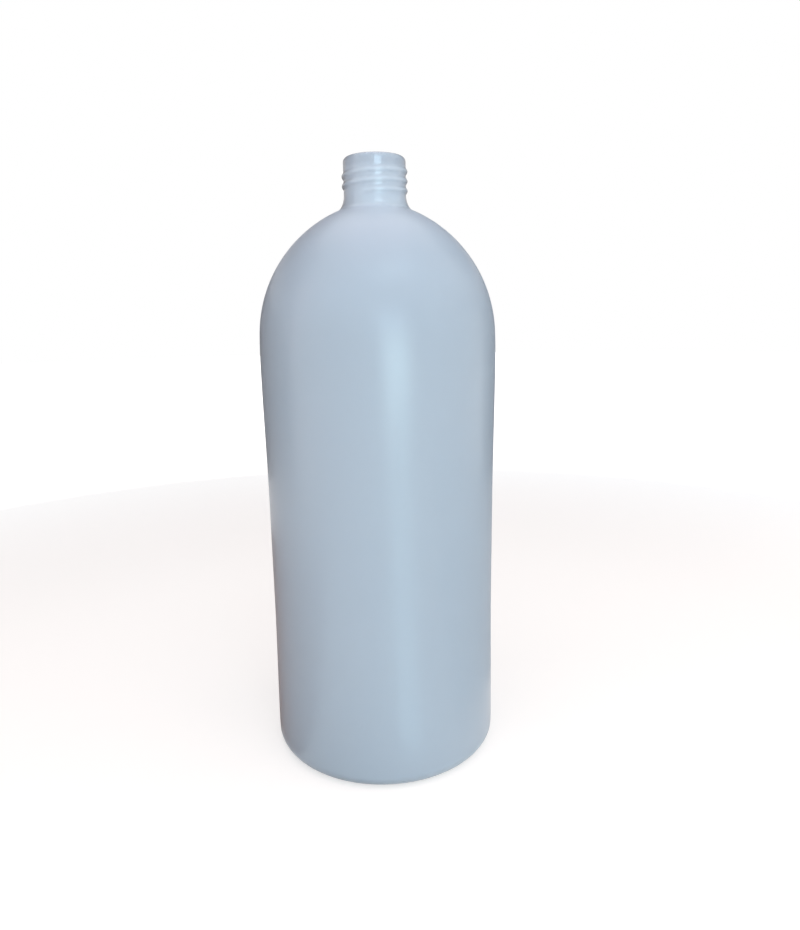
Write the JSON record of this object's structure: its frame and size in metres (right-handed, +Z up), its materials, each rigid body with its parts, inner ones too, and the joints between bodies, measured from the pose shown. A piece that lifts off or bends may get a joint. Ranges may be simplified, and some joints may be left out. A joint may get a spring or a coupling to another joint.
{
  "type": "boston round bottle",
  "caption": "Round one litre plastic bottle with a domed shoulder and an open screw neck, for liquids such as soap or shampoo.",
  "frame": {"origin": "centre of the standing ring on the surface that the bottle stands on", "axes": "+Z up along the bottle's axis towards the mouth; the pictured side faces -Y"},
  "size_m": [0.087, 0.087, 0.2216],
  "materials": {
    "natural_polyethylene": "smooth satin natural polyethylene, milky and slightly translucent, faintly blue-grey, soft highlights"
  },
  "bodies": {
    "root": {"bottle": "natural_polyethylene"}
  },
  "joints": []
}
